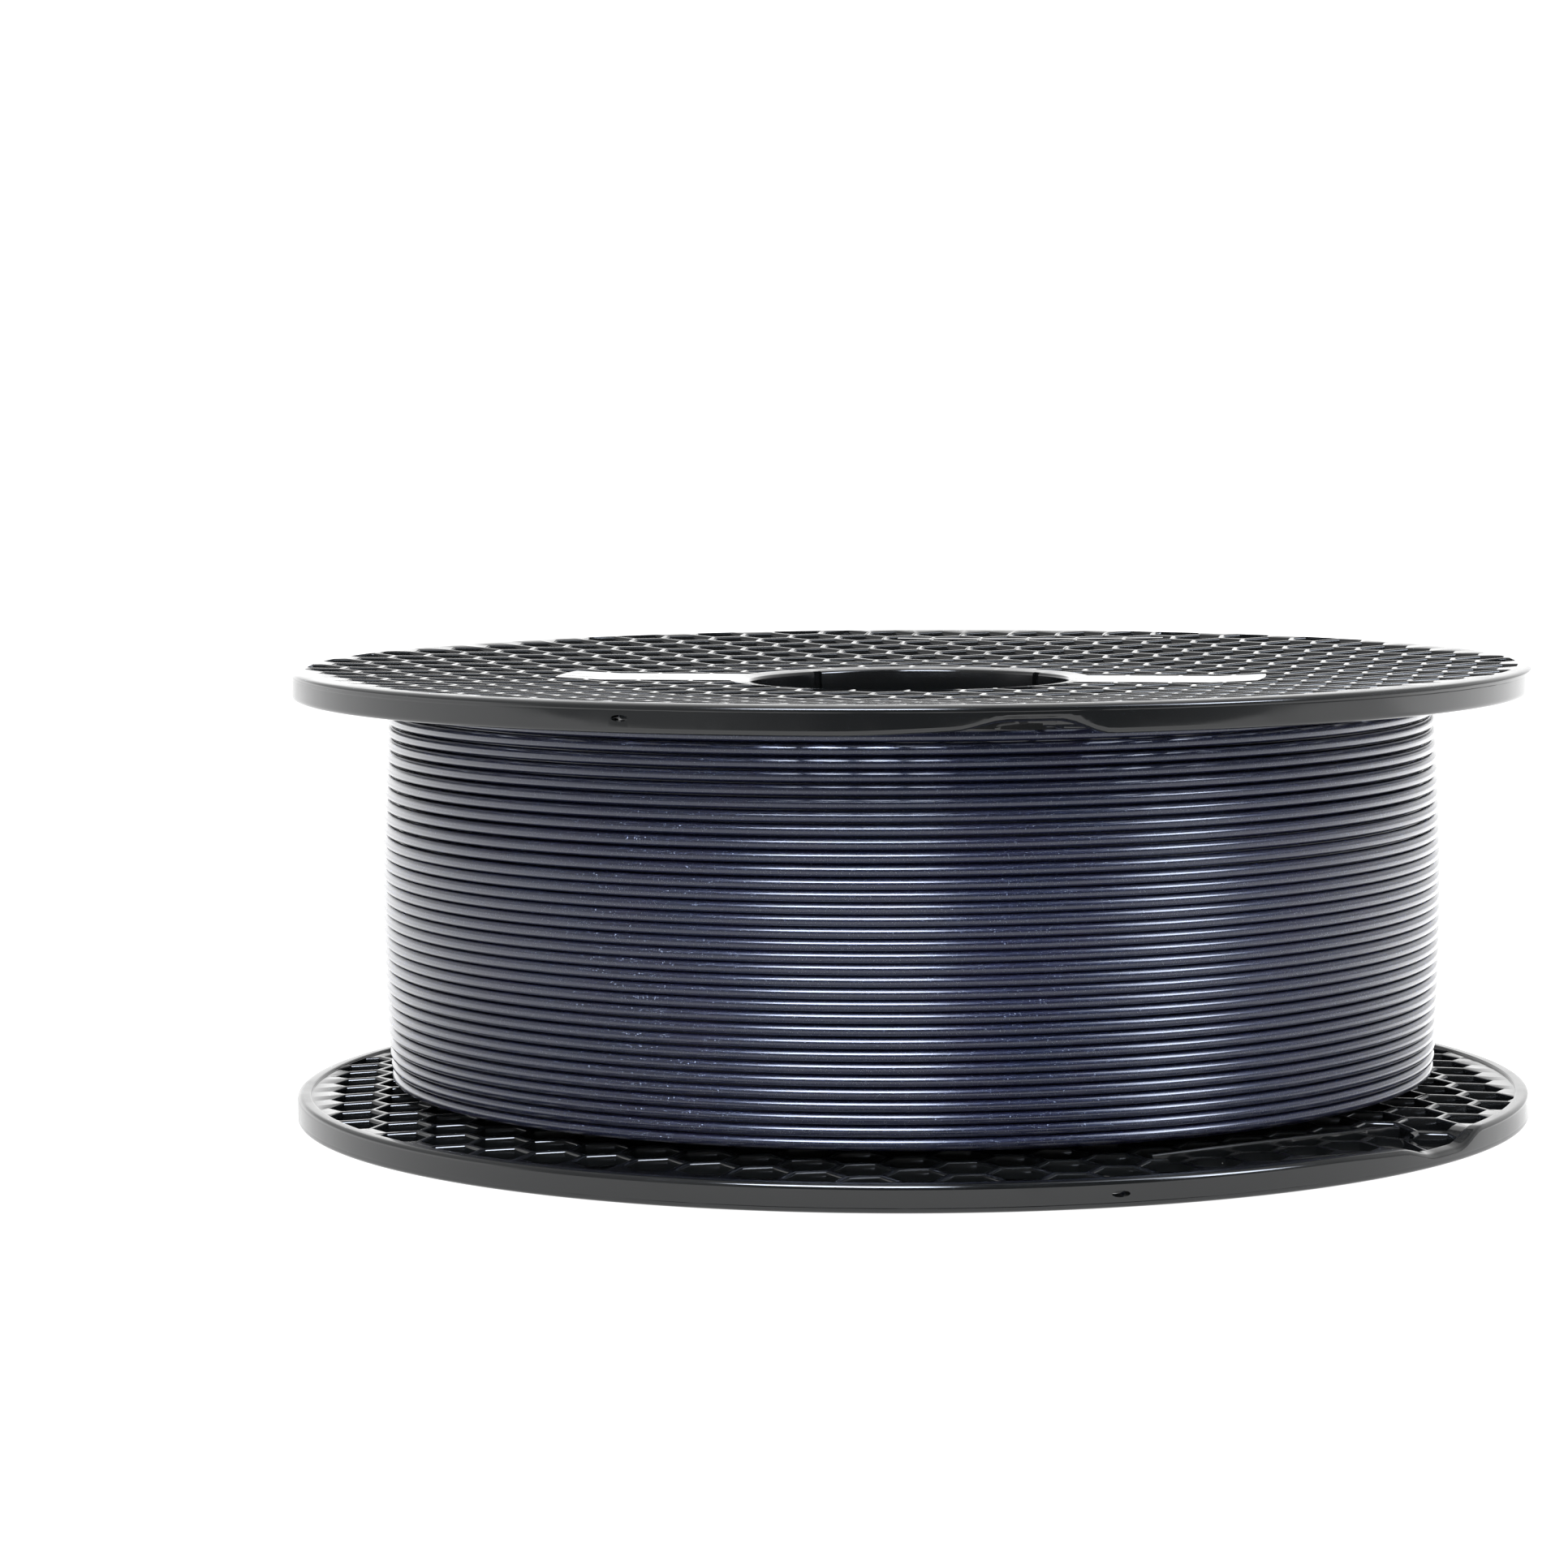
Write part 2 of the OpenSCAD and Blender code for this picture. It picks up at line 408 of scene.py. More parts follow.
# %% [markdown]
# ## Black moulded plastic
# The flanges are glossy black polystyrene. Its colour is nearly nothing: what shows is what it
# reflects. Real mouldings are a little uneven, so three fine things are mixed in: slow waves
# where the melt flowed and shrank, a smudgy change of gloss, and a few specks of dust.


# %% Finish of the flanges
def new_finish(name):
    """An empty material and the graph that fills it."""
    material = bpy.data.materials.new(name)
    material.use_nodes = True
    return material, Graph(material.node_tree)


def end_finish(graph, shader):
    """Connects the shader to the material's surface."""
    graph.feed(graph.tree.nodes.new("ShaderNodeOutputMaterial").inputs["Surface"], shader)


def noise(graph, where, size, detail=2.0):
    """Soft noise whose blobs are about size across, in metres."""
    values = {"Vector": where, "Scale": 1 / size, "Detail": detail}
    return graph.node("ShaderNodeTexNoise", {}, values)


def mixed(graph, factor, first, second):
    """One colour changing into another, as the factor goes from 0 to 1."""
    return graph.node("ShaderNodeMix", {"data_type": "RGBA"}, {0: factor, 6: first, 7: second}, 2)


def black_plastic():
    """Glossy black polystyrene with flow waves, smudges and dust."""
    material, graph = new_finish("black_plastic")
    where = graph.node("ShaderNodeTexCoord", output="Object")
    waves = noise(graph, where, 7 * MM)
    peel = noise(graph, where, 0.9 * MM)
    smudge = noise(graph, where, 11 * MM, 4.0)
    spacing = {"Vector": where, "Scale": 1 / (3.4 * MM)}
    cells = graph.node("ShaderNodeTexVoronoi", {}, spacing, "Distance")
    chosen = graph.split(cells.other("Color"))[0]
    dust = graph.ramp(cells, 0.032, 0.018) * graph.ramp(chosen, 0.86, 0.87)
    black = (0.0048, 0.0055, 0.0061, 1)
    grey = (0.13, 0.13, 0.13, 1)
    height = waves * 0.94 + peel * 0.06
    relief = {"Strength": 0.3, "Distance": 0.04 * MM, "Height": height}
    bump = graph.node("ShaderNodeBump", {}, relief)
    shader = graph.node(
        "ShaderNodeBsdfPrincipled",
        {},
        {
            "Base Color": mixed(graph, dust, black, grey),
            "Roughness": 0.09 + graph.ramp(smudge, 0.35, 0.75) * 0.09 + dust * 0.4,
            "IOR": 1.52,
            "Normal": bump,
        },
    )
    end_finish(graph, shader)
    return material


flange_finish = black_plastic()
print("finish:", flange_finish.name)

# %% [markdown]
# ## The flange, first as a plain round body
# One outline holds the bore with its lead-in, the flat hub, the dished web, the rim with its
# parting groove, the spigot that plugs into the core, and the collar round the bore. It is drawn
# with the outer face down. The rim's outer edge is a low crown, rounded wide on the face and
# tight on the side. The honeycomb is cut out of the body afterwards, as the mould does it.

# %% Outline of the flange
STEPS = 384
rim_round = 0.9 * MM
rim_fall = 0.2 * MM
rim_crown = (1.1 * MM, 0.5 * MM)
groove_low = 0.93 * MM
groove_h = 0.36 * MM
groove_in = flange_r - 0.02 * MM
spigot_r = core_r - 3.15 * MM
spigot_top = hub_top + 8 * MM
collar_top = hub_top + 6 * MM
soft = 0.25 * MM
lead_in = 0.26 * MM

flange_outline = rounded([
    (bore_r, dish + lead_in, 0.5 * MM),
    (collar_r + cell_wall, dish, 0),
    (hub_flat_r, dish, 0),
    (web_r, 0, soft),
    (flange_r, rim_fall, rim_crown),
    (flange_r, groove_low, 0.02 * MM),
    (groove_in, groove_low + groove_h / 2, 0.08 * MM),
    (flange_r, groove_low + groove_h, 0.03 * MM),
    (flange_r, rim_h, rim_round),
    (web_r, rim_h, soft),
    (web_r, web_t, 0.1 * MM),
    (hub_flat_r, hub_top, 0),
    (spigot_r, hub_top, soft),
    (spigot_r, spigot_top, 0.8 * MM),
    (spigot_r - 2 * MM, spigot_top, soft),
    (spigot_r - 2 * MM, hub_top, soft),
    (collar_r, hub_top, soft),
    (collar_r, collar_top, soft),
    (bore_r, collar_top, soft),
])
flange_body = new_piece("flange_body", spin("flange_body", flange_outline, STEPS))
print("outline points:", len(flange_outline), "faces:", len(flange_body.data.polygons))

# %% [markdown]
# ## Where the honeycomb may go
# The cells fill the web between the collar and the rim, but the two panels beside the hub stay
# plain. So the cells are first trimmed to a ring, and the panels are taken out of that.

# %% The ring and the panels
clear = 2 * MM
ring_outline = [
    (collar_r + cell_wall, -clear),
    (web_r - 0.05 * MM, -clear),
    (web_r - 0.05 * MM, hub_top + clear),
    (collar_r + cell_wall, hub_top + clear),
]
open_ring = new_piece("open_ring", spin("open_ring", ring_outline, STEPS))


def arc(radius, start, end, steps=24):
    """Points along a circle about the axis, between two angles."""
    angles = [start + (end - start) * k / steps for k in range(steps + 1)]
    return [(radius * math.cos(a), radius * math.sin(a)) for a in angles]


half_angle = math.asin(panel_w / 2 / panel_r)
panel_outline = arc(panel_r, -half_angle, half_angle)
panel_outline += arc(panel_r, math.pi - half_angle, math.pi + half_angle)
panels = new_piece("panels", prism("panels", panel_outline, -2 * clear, hub_top + 2 * clear))

# %% [markdown]
# ## The channel
# Beside each scoop, the inner face is cut down to a flat channel with a straight edge. The
# strand's end runs along it from its hole in the rim to the scoop. The channel's edge leans
# back, so that it catches a line of light, and a thin ledge closes the cells that it crosses.

# %% The two channels
scoop_angle = math.radians(70.8)
channel_edge = 83.5 * MM
channel_run = 15 * MM
channel_z = web_t - 0.1 * MM
channel_end = flange_r * math.cos(scoop_angle)


def mirrored(outline):
    """The same outline on the other side of the panels' line."""
    return [(x, -y) for x, y in reversed(outline)]


def strip(near, far):
    """A straight strip along the channel's edge, between two distances from the panels' line."""
    return [
        (-channel_run, -far),
        (channel_end, -far),
        (channel_end, -near),
        (-channel_run, -near),
    ]


first_angle = -math.pi / 2 - math.asin(channel_run / web_r)
last_angle = -math.pi / 2 + math.asin(channel_end / web_r)
channel_outline = arc(web_r - 0.05 * MM, first_angle, last_angle)
channel_outline += [(channel_end, -channel_edge), (-channel_run, -channel_edge)]
channels = [
    new_piece(f"channel_{i}", prism("channel", outline, channel_z, hub_top + clear))
    for i, outline in enumerate((channel_outline, mirrored(channel_outline)))
]

# %% The leaning edge and the ledge
bevel_low = web_top(channel_edge) - 0.3 * MM
bevel_h = 1 * MM
bevel_lean = 0.58 * MM
bevel_outline = strip(channel_edge, channel_edge + 1 * MM)
for side, outline in ((1, bevel_outline), (-1, mirrored(bevel_outline))):
    bevel = prism("bevel", outline, bevel_low, bevel_low + bevel_h, bevel_lean * side)
    channels.append(new_piece(f"bevel_{side}", bevel))

ledge_w = 1.2 * MM
ledge_outline = strip(channel_edge - ledge_w, channel_edge)
ledges = [
    new_piece(f"ledge_{i}", prism("ledge", outline, -clear, hub_top + 2 * clear))
    for i, outline in enumerate((ledge_outline, mirrored(ledge_outline)))
]
print("channels and ledges:", len(channels), len(ledges))

# %% [markdown]
# ## The honeycomb
# Some 450 equal cells on a regular grid are a job for geometry nodes. Points are laid out by
# their index, in rows that are shifted by half a pitch. Each point gets a six-sided cutter whose
# mouths flare out in a quarter circle, so that cutting with it leaves rounded wall tops. The
# cutters are lifted with the dish of the web, trimmed to the open ring, and cut out of the body.


# %% The cutter of one cell
def cell_cutter(shape):
    """A six-sided cutter with flared mouths, as high as the web and a little more."""
    rings = 9
    depth = 1.0
    blank = shape.node(
        "GeometryNodeMeshCylinder",
        {},
        {"Vertices": 6, "Side Segments": rings, "Radius": 1.0, "Depth": depth},
    )
    x, y, z = shape.split(shape.node("GeometryNodeInputPosition"))
    level = shape.maths("ROUND", shape.maths("ABSOLUTE", z * rings) - 0.5)
    turn = shape.maths("MINIMUM", level, 3.0) * (math.pi / 6)
    beyond = shape.maths("MAXIMUM", level - 3.0, 0.0)
    apothem = (shape.size("Cell pitch") - shape.size("Cell wall")) / 2
    rounding = shape.size("Edge rounding")
    flare = rounding * (1.0 - shape.maths("COSINE", turn))
    depth_below = rounding * (1.0 - shape.maths("SINE", turn))
    height = shape.size("Web thickness") / 2 + 0.01 * MM - depth_below + beyond * (1.2 * MM)
    radius = (apothem + flare) * (2 / math.sqrt(3))
    position = shape.join(x * radius, y * radius, height * shape.maths("SIGN", z))
    return shape.move(blank, position=position)


# %% The field of cells
def cell_field(shape):
    """The cutters of all cells, in place on the dished web."""
    columns = shape.size("Columns")
    rows = shape.size("Rows")
    index = shape.node("GeometryNodeInputIndex")
    row = shape.maths("FLOOR", index / columns)
    column = index - row * columns
    j = row - shape.maths("FLOOR", rows / 2)
    i = column - shape.maths("FLOOR", columns / 2)
    shift = shape.maths("FLOORED_MODULO", j, 2.0) / 2
    pitch = shape.size("Cell pitch")
    spot = shape.join((i + shift) * pitch, j * pitch * (math.sqrt(3) / 2), 0.0)
    points = shape.node("GeometryNodePoints", {}, {"Count": columns * rows, "Position": spot})
    here = {0: shape.node("GeometryNodeInputPosition")}
    away = shape.node("ShaderNodeVectorMath", {"operation": "LENGTH"}, here, "Value")
    inside = shape.maths("LESS_THAN", away, shape.size("Web radius") - shape.size("Cell wall"))
    instances = shape.node(
        "GeometryNodeInstanceOnPoints",
        {},
        {
            "Points": points,
            "Selection": inside,
            "Instance": cell_cutter(shape),
            "Rotation": (0.0, 0.0, math.pi / 6),
        },
    )
    field = shape.node("GeometryNodeRealizeInstances", {}, {"Geometry": instances})
    x, y, z = shape.split(shape.node("GeometryNodeInputPosition"))
    r = shape.maths("SQRT", x * x + y * y)
    slope = shape.size("Web radius") - shape.size("Hub radius")
    lift = shape.clamp((shape.size("Web radius") - r) / slope)
    raised = lift * shape.size("Dish") + shape.size("Web thickness") / 2
    return shape.move(field, offset=shape.join(0.0, 0.0, raised))


# %% [markdown]
# ## Holes, keys and scoops
# Each rim has two small radial holes for the strand's end, and each bore has four shallow key
# grooves. The finger scoops aren't cut: the inner face is pressed down smoothly there, so that
# the rounded edge of the rim follows the dip, as on the real moulding.


# %% The small cuts
def rim_holes(shape):
    """Two flattened pins across the rim, mirrored about the panels' line."""
    radius = shape.size("Hole radius")
    flatness = 0.34
    unit = {"Vertices": 32, "Radius": 1.0, "Depth": 8 * MM}
    pin = shape.node("GeometryNodeMeshCylinder", {}, unit)
    pins = []
    for side in (-1, 1):
        angle = shape.size("Hole angle") * side
        values = {
            "Geometry": pin,
            "Translation": shape.join(
                flange_r * shape.maths("COSINE", angle),
                flange_r * shape.maths("SINE", angle),
                rim_h / 2,
            ),
            "Rotation": shape.join(0.0, math.pi / 2, angle),
            "Scale": shape.join(radius * flatness, radius, 1.0),
        }
        pins.append(shape.node("GeometryNodeTransform", {}, values))
    return pins


def key_grooves(shape):
    """Four blocks that cut shallow grooves along the bore."""
    length = 2 * (collar_top + clear)
    block = shape.node("GeometryNodeMeshCube", {}, {"Size": (3.2 * MM, 1.6 * MM, length)})
    middle = bore_r - 1 * MM
    blocks = []
    for k in range(4):
        angle = math.radians(45 + 90 * k)
        place = (middle * math.cos(angle), middle * math.sin(angle), 0.0)
        values = {"Geometry": block, "Translation": place, "Rotation": (0.0, 0.0, angle)}
        blocks.append(shape.node("GeometryNodeTransform", {}, values))
    return blocks


# %% The scoops
def press_scoops(shape, geometry):
    """Presses the inner face down at both scoops, most at the rim.

    The dip starts with a short ramp and ends with a long one, steep first and gentle last.
    """
    x, y, z = shape.split(shape.node("GeometryNodeInputPosition"))
    r = shape.maths("SQRT", x * x + y * y)
    angle = shape.maths("ARCTAN2", shape.maths("ABSOLUTE", y), x)
    along = (angle - scoop_angle) * flange_r
    floor_half = 3.6 * MM
    down = shape.ramp(along, -floor_half - shape.size("Short ramp"), -floor_half)
    steep = shape.ramp(along, floor_half, floor_half + shape.size("Steep ramp"))
    gentle = shape.ramp(along, floor_half, floor_half + shape.size("Long ramp"))
    steep_share = 0.62
    up = steep * steep_share + gentle * (1 - steep_share)
    reach = shape.ramp(r, flange_r - 11 * MM, flange_r, "LINEAR")
    share = shape.ramp(z, 1.4 * MM, 4.1 * MM, "LINEAR")
    depth = shape.size("Scoop depth") * down * (1.0 - up) * reach * share
    return shape.move(geometry, offset=shape.join(0.0, 0.0, 0.0 - depth))


def wear_parting_line(shape, geometry):
    """Nicks the edges of the parting groove, so that they glint in dashes."""
    x, y, z = shape.split(shape.node("GeometryNodeInputPosition"))
    r = shape.maths("SQRT", x * x + y * y)
    values = {"Vector": shape.join(x, y, z * 3.0), "Scale": 1 / (4 * MM), "Detail": 2.0}
    wander = shape.node("ShaderNodeTexNoise", {}, values) - 0.5
    outside = shape.ramp(r, flange_r - 0.3 * MM, flange_r - 0.15 * MM)
    near = outside * shape.ramp(z, 0.8 * MM, 0.9 * MM)
    nick = shape.size("Line wear") * wander * near * shape.ramp(z, 1.5 * MM, 1.4 * MM)
    inwards = shape.maths("MINIMUM", nick, 0.0) / r
    return shape.move(geometry, offset=shape.join(x * inwards, y * inwards, nick * 0.6))


# %% The flange, cut
honeycomb = Shape(
    "honeycomb_flange",
    **{
        "Body": flange_body,
        "Open ring": open_ring,
        "Panels": panels,
        "Channel left": channels[0],
        "Channel right": channels[1],
        "Bevel left": channels[2],
        "Bevel right": channels[3],
        "Ledge left": ledges[0],
        "Ledge right": ledges[1],
        "Finish": flange_finish,
        "Cell pitch": cell_pitch,
        "Cell wall": cell_wall,
        "Edge rounding": 0.4 * MM,
        "Web thickness": web_t,
        "Web radius": web_r,
        "Hub radius": hub_flat_r,
        "Dish": dish,
        "Columns": 27,
        "Rows": 31,
        "Hole radius": 1.4 * MM,
        "Hole angle": math.radians(106.7),
        "Scoop depth": 2.35 * MM,
        "Short ramp": 8 * MM,
        "Steep ramp": 8.5 * MM,
        "Long ramp": 26 * MM,
        "Line wear": 0.1 * MM,
    },
)
trimmed = honeycomb.boolean("INTERSECT", cell_field(honeycomb), [honeycomb.solid("Open ring")])
kept = [honeycomb.solid(label) for label in ("Panels", "Ledge left", "Ledge right")]
cells = honeycomb.boolean("DIFFERENCE", trimmed, kept)
cuts = [cells]
for cut in ("Channel", "Bevel"):
    cuts += [honeycomb.solid(f"{cut} {side}") for side in ("left", "right")]
cuts += rim_holes(honeycomb) + key_grooves(honeycomb)
cut_body = honeycomb.boolean("DIFFERENCE", honeycomb.solid("Body"), cuts)
honeycomb.end(wear_parting_line(honeycomb, press_scoops(honeycomb, cut_body)))


# %% Two flanges from one moulding
def place_flange(name, node, place, hole_angle):
    """The moulding, put where the CAD node is."""
    piece = honeycomb.make(name, **{"Hole angle": math.radians(hole_angle)})
    piece.data.transform(place)
    shade(piece, 40)
    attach(piece, "root")
    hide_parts(node)
    print("triangles:", count_triangles(piece))


turned_over = Matrix.Rotation(math.pi, 4, "X")
lower_place = Matrix.Rotation(lower_turn, 4, "Z")
upper_place = Matrix.Rotation(upper_turn, 4, "Z") @ turned_over
upper_place = Matrix.Translation((0, 0, spool_w)) @ upper_place
place_flange("flange_lower", "lower_flange", lower_place, 107.6)
place_flange("flange_upper", "upper_flange", upper_place, 105.8)
for helper in [flange_body, open_ring, panels] + channels + ledges:
    bpy.data.objects.remove(helper)

# %% [markdown]
# ## The filament
# The strand is plastic, midnight blue with fine glitter. Clear plastic lies over the glitter, so
# the finish has two layers: a bluish sheen with flakes that each lean their own way, and a
# smooth coat that gives the long clean highlights.


# %% Finish of the filament
def glitter_blue():
    """Midnight blue with a soft sheen and tiny leaning flakes, under a smooth coat."""
    material, graph = new_finish("midnight_filament")
    where = graph.node("ShaderNodeTexCoord", output="Object")
    spacing = {"Vector": where, "Scale": 1 / (0.08 * MM)}
    flakes = graph.node("ShaderNodeTexVoronoi", {}, spacing, "Color")
    flake = graph.ramp(graph.split(flakes)[0], 0.97, 0.975)
    cloud = noise(graph, where, 9 * MM, 3.0)
    navy = mixed(graph, cloud, (0.0042, 0.0074, 0.0190, 1), (0.0078, 0.0064, 0.0184, 1))
    lean = graph.vector("SUBTRACT", flakes, (0.5, 0.5, 0.5))
    lean = graph.vector("SCALE", lean, factor=flake * 0.7)
    upright = graph.node("ShaderNodeNewGeometry", output="Normal")
    shader = graph.node(
        "ShaderNodeBsdfPrincipled",
        {},
        {
            "Base Color": mixed(graph, flake, navy, (0.10, 0.115, 0.15, 1)),
            "Metallic": flake * 0.85,
            "Roughness": 0.34 - flake * 0.06,
            "Specular IOR Level": 0.22,
            "Specular Tint": (0.42, 0.56, 0.95, 1),
            "Normal": graph.vector("NORMALIZE", graph.vector("ADD", upright, lean)),
            "Coat Weight": 1.0,
            "Coat Roughness": 0.18,
            "Coat IOR": 1.5,
        },
    )
    end_finish(graph, shader)
    return material


filament_finish = glitter_blue()
print("finish:", filament_finish.name)

# %% [markdown]
# ## The two outer layers
# One strand runs round the spool in a helix, turn beside turn. A tree of geometry nodes lays
# points along it by their index: the angle and the height follow from the number of turns so
# far, and the radius shrinks a little towards the flanges. A circle swept along the points is
# the strand. No winder lays a strand evenly: its pitch differs between the lower, the middle and
# the upper part, and it wanders a little. Both ends dive under the turns beside them.
# The next layer shows in the gaps. It is the same strand on its way back, so it slopes the
# other way and crosses the outer turns.


# %% A tree for a wound layer, and its sizes
winding = Shape(
    "wound_layer",
    **{
        "Finish": filament_finish,
        "Radius": turn_r,
        "First turn": -0.565,
        "Last turn": 32.2,
        "Front angle": math.radians(-93),
        "Slope": 1.0,
        "Height at front": 7.7 * MM,
        "Low pitch": 1.875 * MM,
        "Middle pitch": 1.795 * MM,
        "High pitch": 1.965 * MM,
        "Low turns": 10.0,
        "Middle turns": 21.0,
        "Ceiling": 67.8 * MM,
        "Middle height": spool_w / 2,
        "Edge drop": wound_drop,
        "Dive": 2.4 * MM,
        "Unevenness": 0.1 * MM,
        "Seed": 7.0,
        "Strand radius": strand_r,
        "Points per turn": 144,
        "Sides": 14,
    },
)


def wander(shape, turn, waves, seed):
    """Soft noise around nothing, that changes along the strand some waves per turn."""
    where = {"W": turn * waves + shape.size("Seed") + seed, "Scale": 1.0}
    return shape.node("ShaderNodeTexNoise", {"noise_dimensions": "1D"}, where) - 0.5


def wound_path(shape):
    """The line that the strand's middle follows."""
    per_turn = shape.size("Points per turn")
    first = shape.size("First turn")
    last = shape.size("Last turn")
    count = shape.maths("ROUND", (last - first) * per_turn)
    turn = first + shape.node("GeometryNodeInputIndex") / per_turn
    angle = shape.size("Front angle") + turn * shape.size("Slope") * (2 * math.pi)
    middle = shape.size("Middle pitch")
    low = shape.maths("MINIMUM", turn, shape.size("Low turns"))
    low = low * (shape.size("Low pitch") - middle)
    high = shape.maths("MAXIMUM", turn - shape.size("Middle turns"), 0.0)
    high = high * (shape.size("High pitch") - middle)
    height = shape.size("Height at front") + turn * middle + low + high
    height = height + wander(shape, turn, 1.3, 40) * shape.size("Unevenness")
    height = shape.maths("MINIMUM", height, shape.size("Ceiling"))
    side = (height - shape.size("Middle height")) / (shape.size("Middle height") - 5.7 * MM)
    start_dive = 1.0 - shape.ramp(turn - first, 0.0, 0.1)
    end_dive = 1.0 - shape.ramp(last - turn, 0.0, 0.1)
    r = shape.size("Radius") - side * side * shape.size("Edge drop")
    r = r + wander(shape, turn, 1.7, 0) * shape.size("Unevenness")
    r = r - (start_dive + end_dive) * shape.size("Dive")
    spot = shape.join(r * shape.maths("COSINE", angle), r * shape.maths("SINE", angle), height)
    line = shape.node("GeometryNodeMeshLine", {}, {"Count": count})
    return shape.node("GeometryNodeMeshToCurve", {}, {"Mesh": shape.move(line, position=spot)})


section = winding.node(
    "GeometryNodeCurvePrimitiveCircle",
    {},
    {"Resolution": winding.size("Sides"), "Radius": winding.size("Strand radius")},
)
sweep = {"Curve": wound_path(winding), "Profile Curve": section, "Fill Caps": True}
winding.end(winding.node("GeometryNodeCurveToMesh", {}, sweep))

# %% The outer layer and the one below
outer = winding.make("outer_turns")
shade(outer, 60)
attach(outer, "root")
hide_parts("filament_turns")
print("triangles:", count_triangles(outer))

second = winding.make(
    "second_turns",
    **{
        "Radius": turn_r - 1.6 * MM,
        "First turn": 0.0,
        "Last turn": 32.0,
        "Front angle": math.radians(20),
        "Slope": -1.0,
        "Height at front": 7.6 * MM,
        "Low pitch": 1.87 * MM,
        "Middle pitch": 1.87 * MM,
        "High pitch": 1.87 * MM,
        "Dive": 0.0,
        "Seed": 19.0,
        "Points per turn": 112,
        "Sides": 10,
    },
)
shade(second, 60)
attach(second, "root")

# %% [markdown]
# ## The layers underneath
# Deeper layers show only at their ends, through the honeycomb, as rings of turns. They are one
# spun body whose ends are scalloped, one bump for each layer.


# %% The deeper layers
def scalloped_end(heights, direction):
    """Bumps along one end of the winding, from the core outwards."""
    steps = 6
    points = []
    for r, z in heights:
        for step in range(steps + 1):
            bend = math.pi * step / steps
            out = strand_r * math.sin(bend) * direction
            points.append((r - strand_r * math.cos(bend), z + out))
    return points


layers = int((turn_r - 2 * layer_step - core_r - strand_r) / layer_step) + 1
layer_radii = [core_r + 0.3 * MM + strand_r + layer_step * k for k in range(layers)]
stagger_step = 0.6 * MM
low_ends = []
high_ends = []
for k, r in enumerate(layer_radii):
    stagger = (k % 2) * stagger_step
    rest = web_top(r) + 0.3 * MM + strand_r + max(0, r - 70 * MM) * 0.08
    low_ends.append((r, rest + stagger))
    high_ends.append((r, spool_w - rest - stagger_step + stagger))
pack_outline = scalloped_end(low_ends, -1) + list(reversed(scalloped_end(high_ends, 1)))
inner = new_piece("inner_layers", spin("inner_layers", pack_outline, 128))
inner.data.materials.append(filament_finish)
shade(inner, 60)
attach(inner, "root")
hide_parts("filament_pack")
print("layers below:", layers, "triangles:", count_triangles(inner))

# %% [markdown]
# ## The core
# The core is a tube of wound cardboard. Strips of brown paper are glued in a spiral, and each
# strip leaves a fine seam. The tube's ends show the plies.


# %% Finish of the cardboard
def cardboard():
    """Brown paperboard with fibres and specks."""
    material, graph = new_finish("brown_cardboard")
    where = graph.node("ShaderNodeTexCoord", output="Object")
    stretch = graph.node(
        "ShaderNodeMapping", {"vector_type": "POINT"}, {"Vector": where, "Scale": (1.0, 1.0, 0.25)}
    )
    fibres = noise(graph, stretch, 0.5 * MM, 5.0)
    patches = noise(graph, where, 7 * MM, 3.0)
    tone = mixed(graph, patches, (0.30, 0.19, 0.105, 1), (0.44, 0.30, 0.18, 1))
    relief = {"Strength": 0.6, "Distance": 0.08 * MM, "Height": fibres}
    bump = graph.node("ShaderNodeBump", {}, relief)
    shader = graph.node(
        "ShaderNodeBsdfPrincipled",
        {},
        {
            "Base Color": mixed(graph, fibres, tone, (0.36, 0.25, 0.15, 1)),
            "Roughness": 0.75 + fibres * 0.2,
            "Normal": bump,
        },
    )
    end_finish(graph, shader)
    return material


# %% The tube with its spiral seam
def core_tube(name):
    """The tube's wall, with a fine groove that climbs round inside and outside."""
    low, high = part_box("core_tube")
    wall = 3 * MM
    seam_pitch = 45 * MM
    seam_depth = 0.2 * MM
    seam_width = 0.5 * MM
    levels = 64
    steps = 192
    heights = [low.z + (high.z - low.z) * k / levels for k in range(levels + 1)]
    outline = [(core_r, z) for z in heights] + [(core_r - wall, z) for z in reversed(heights)]
    mesh = spin(name, outline, steps)
    for vertex in mesh.vertices:
        r = math.hypot(vertex.co.x, vertex.co.y)
        turn = math.atan2(vertex.co.y, vertex.co.x) / (2 * math.pi)
        off = (vertex.co.z / seam_pitch - turn + 0.5) % 1 - 0.5
        groove = seam_depth * math.exp(-((off * seam_pitch / seam_width) ** 2))
        inwards = -groove if r > core_r - wall / 2 else groove
        vertex.co.x *= (r + inwards) / r
        vertex.co.y *= (r + inwards) / r
    return mesh


core = new_piece("cardboard_core", core_tube("cardboard_core"))
core.data.materials.append(cardboard())
shade(core, 40)
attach(core, "root")
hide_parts("core_tube")
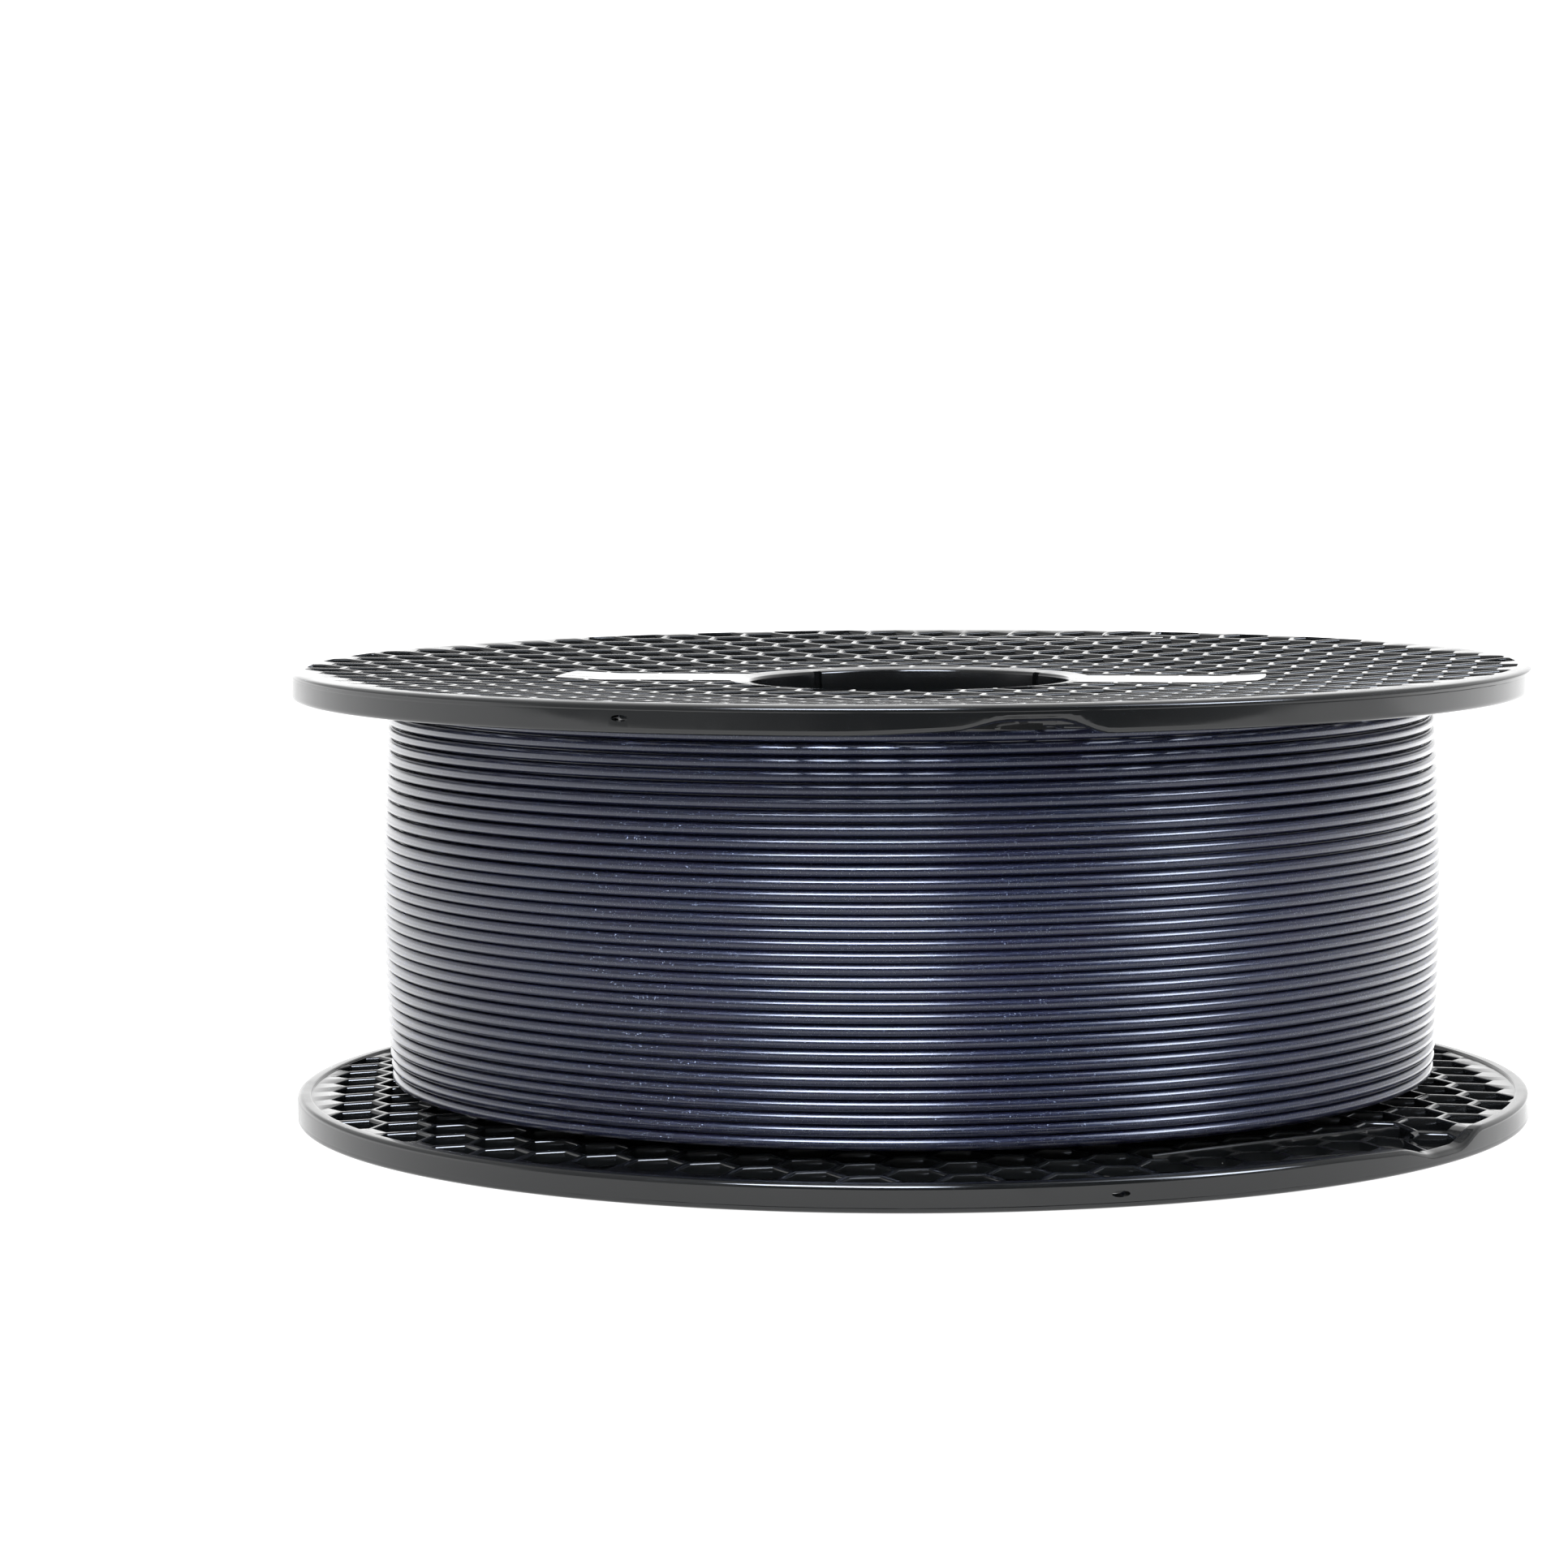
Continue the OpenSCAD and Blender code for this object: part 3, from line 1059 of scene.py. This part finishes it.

# %% [markdown]
# ## Table and light
# The spool stands on a white table that runs into a white wall. Two large soft lights hang in
# the dark room in front. Black gloss shows exactly that: white where it is seen flat, dark in
# the middle, with two bright bands. All of it lies in the world's light, which shows the gloss
# this room and gives everything else an even light. The table glows by itself, a painted light
# though it is no lamp, with a painted brighter patch at the far right and a painted shadow under
# the spool, where its glow is cut off.

# %% Table
side = 6.0
front = -0.38
corners = [(-side, front, 0), (side, front, 0), (side, side, 0), (-side, side, 0)]
table_mesh = bpy.data.meshes.new("table")
table_mesh.from_pydata(corners, [], [(0, 1, 2, 3)])
table = new_piece("table", table_mesh)
table_finish, graph = new_finish("white_table_painted_glow")
table_x, table_y = graph.split(graph.node("ShaderNodeTexCoord", output="Object"))[:2]
table_r = graph.maths("SQRT", table_x * table_x + table_y * table_y)
# painted shadow: the table's glow is cut off under the spool
outside = graph.ramp(table_r, 0.8 * flange_r, 0.97 * flange_r)
# painted light: a brighter patch of glow at the far right, for the rims to reflect
painted_far_right_glow = graph.ramp(table_x, 0.04, 0.12) * graph.ramp(table_y, -0.03, 0.04)
painted_glow = outside * (1.0 + painted_far_right_glow * 0.7)
white = graph.node(
    "ShaderNodeBsdfPrincipled",
    {},
    {
        "Base Color": (0.25, 0.25, 0.25, 1),
        "Roughness": 1.0,
        "Specular IOR Level": 0.0,
        # the table's emission is painted light: it glows though it is no lamp
        "Emission Color": graph.join(painted_glow, painted_glow, painted_glow),
        "Emission Strength": 1.0,
    },
)
end_finish(graph, white)
table_mesh.materials.append(table_finish)

# %% Room light
world = bpy.data.worlds.new("studio")
bpy.context.scene.world = world
world.use_nodes = True
room = Graph(world.node_tree)
x, y, z = room.split(room.node("ShaderNodeTexCoord", output="Generated"))
azimuth = room.maths("ARCTAN2", x, 0.0 - y) * (180 / math.pi)


def soft_light(left, right, low, high, strength):
    """A soft light in the room, between two azimuths in degrees and two heights of its rays."""
    across = room.ramp(azimuth, left - 4, left + 4) * room.ramp(azimuth, right + 4, right - 4)
    up = room.ramp(z, low - 0.03, low + 0.06) * room.ramp(z, high, low + 0.06, "LINEAR")
    return across * up * strength


# %% The wall, the lights and what each ray sees
even_level = 2.1
backdrop_level = 2.0
room_level = 0.1
rightwards = room.maths("MAXIMUM", x, 0.0)
fade = room.ramp(z - rightwards * 0.45, 0.1, 0.32)
wall = room.ramp(y - x * 0.12, -0.3, 0.1) * (1.0 - fade * 0.85)
wall = wall * (1.0 - rightwards * 0.8) * 1.28
sides = room.ramp(room.maths("ABSOLUTE", azimuth - 14.0), 22.0, 60.0) * 0.4
left_light = soft_light(-38, 5, 0.56, 0.98, 44.0)
right_light = soft_light(53, 73, 0.36, 0.98, 28.0)
lights = left_light + right_light

diffuse_ray = room.node("ShaderNodeLightPath", output="Is Diffuse Ray")
camera_ray = diffuse_ray.other("Is Camera Ray")
levels = []
for tint in (0.92, 1.0, 1.15):
    glossy = room_level + sides + wall + lights * tint
    level = diffuse_ray * even_level + (1.0 - diffuse_ray) * glossy
    levels.append(camera_ray * backdrop_level + (1.0 - camera_ray) * level)
sky = room.node("ShaderNodeBackground", {}, {"Color": room.join(*levels), "Strength": 1.0})
room.feed(room.tree.nodes.new("ShaderNodeOutputWorld").inputs["Surface"], sky)
world.cycles.sampling_method = "NONE"
bpy.context.scene.view_settings.view_transform = "Standard"
print("levels of the light:", even_level, backdrop_level, room_level)

# %% [markdown]
# ## The CAD box
# The dressed spool has to fill the same box as the CAD model.

# %% Print the CAD box
print("CAD box", [tuple(round(v, 4) for v in c) for c in cad_box])
